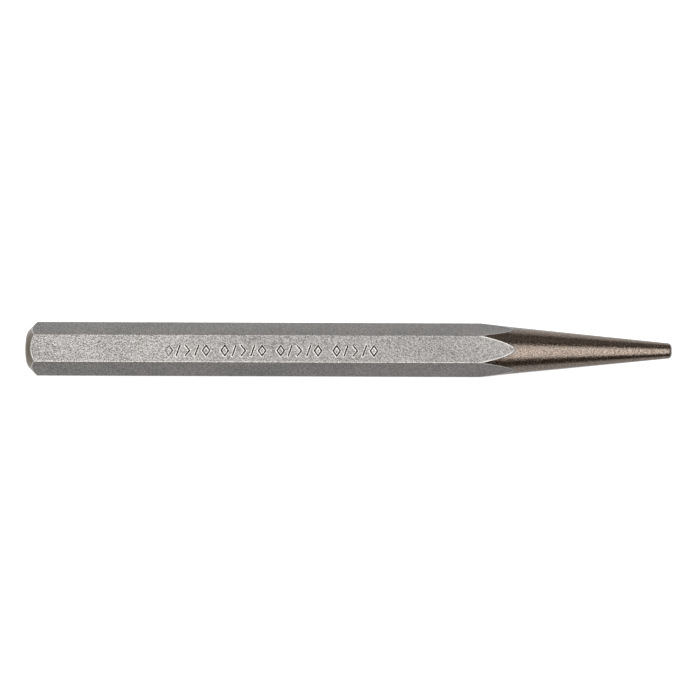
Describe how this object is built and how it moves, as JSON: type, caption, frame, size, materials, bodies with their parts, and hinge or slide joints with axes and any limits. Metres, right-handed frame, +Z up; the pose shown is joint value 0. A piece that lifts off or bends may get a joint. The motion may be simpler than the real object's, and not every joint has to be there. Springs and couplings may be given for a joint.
{
  "type": "hexagonal hand punch",
  "caption": "Hexagonal steel hand punch with a crowned, chamfered striking head and a long conical nose that ends in a blunt tip, used with a hammer for metalwork.",
  "frame": {"origin": "On the plane that the punch lies on, below the middle of its length and of its width.", "axes": "+X along the bar's axis from the struck head to the tip, +Y across two opposite corners of the hexagon, +Z up, square to the flat that it lies on."},
  "size_m": [0.1524, 0.0128, 0.0111],
  "materials": {
    "blasted_steel": "matte",
    "oxide_steel": "satin"
  },
  "bodies": {
    "root": {"struck_head": "blasted_steel", "hex_shank": "blasted_steel", "tapered_nose": "oxide_steel", "working_tip": "oxide_steel"}
  },
  "joints": []
}
